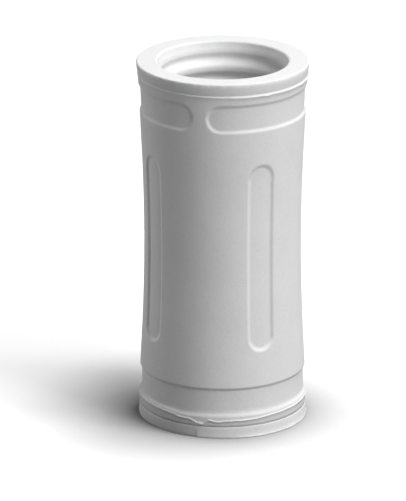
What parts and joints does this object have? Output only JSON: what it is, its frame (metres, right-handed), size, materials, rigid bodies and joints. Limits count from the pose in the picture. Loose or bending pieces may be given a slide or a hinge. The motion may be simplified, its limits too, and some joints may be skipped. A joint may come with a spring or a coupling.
{
  "type": "conduit coupling sleeve",
  "caption": "One-piece soft moulded sleeve that joins round conduits end to end, with seal ribs in each socket, a centre stop, and recessed slots and label panels.",
  "frame": {"origin": "centre of the bottom end face", "axes": "+Z along the bore towards the end with the label panels; the bridges between the panels face -Y and +Y"},
  "size_m": [0.028, 0.028, 0.06],
  "materials": {
    "sleeve": "matt moulded surface, light grey"
  },
  "bodies": {
    "root": {"coupling_sleeve": "sleeve"}
  },
  "joints": []
}
